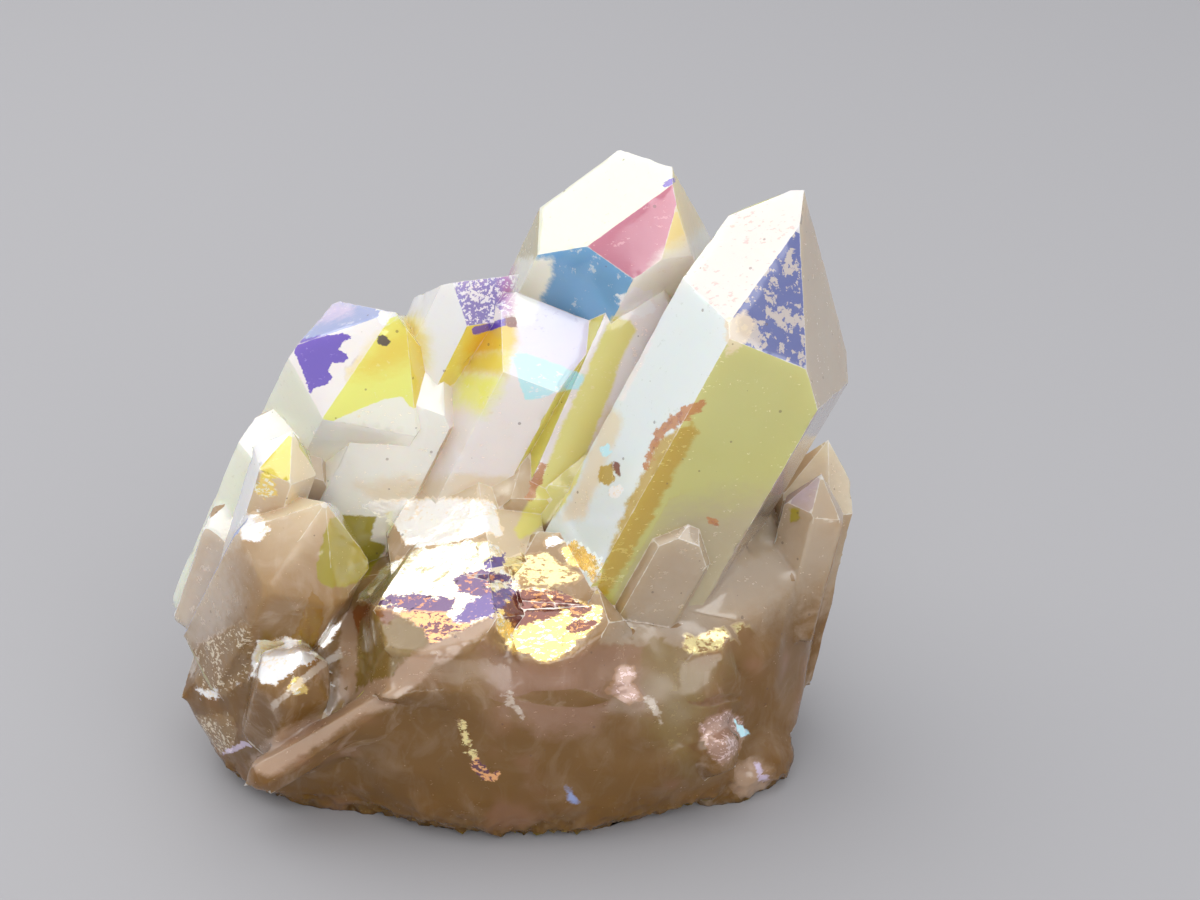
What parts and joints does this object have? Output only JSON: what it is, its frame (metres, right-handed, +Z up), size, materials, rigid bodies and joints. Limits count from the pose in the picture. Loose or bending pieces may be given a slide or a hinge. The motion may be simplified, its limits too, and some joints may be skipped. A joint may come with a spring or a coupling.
{
  "type": "aura quartz cluster",
  "caption": "Grown-together cluster of faceted quartz points with an iridescent coat, rising and leaning from a rough milky root cut level underneath to stand on a shelf",
  "frame": {"origin": "centre of the bounding box's underside, on the surface that the cluster stands on", "axes": "+Z up; the display side with the bright ledge faces -Y; the tallest points stand towards +X; the longest extent runs along X"},
  "size_m": [0.0483, 0.0334, 0.0426],
  "materials": {
    "aura_quartz": "glassy milky quartz with a thin iridescent metal coat"
  },
  "bodies": {
    "root": {"quartz_cluster": "aura_quartz"}
  },
  "joints": []
}
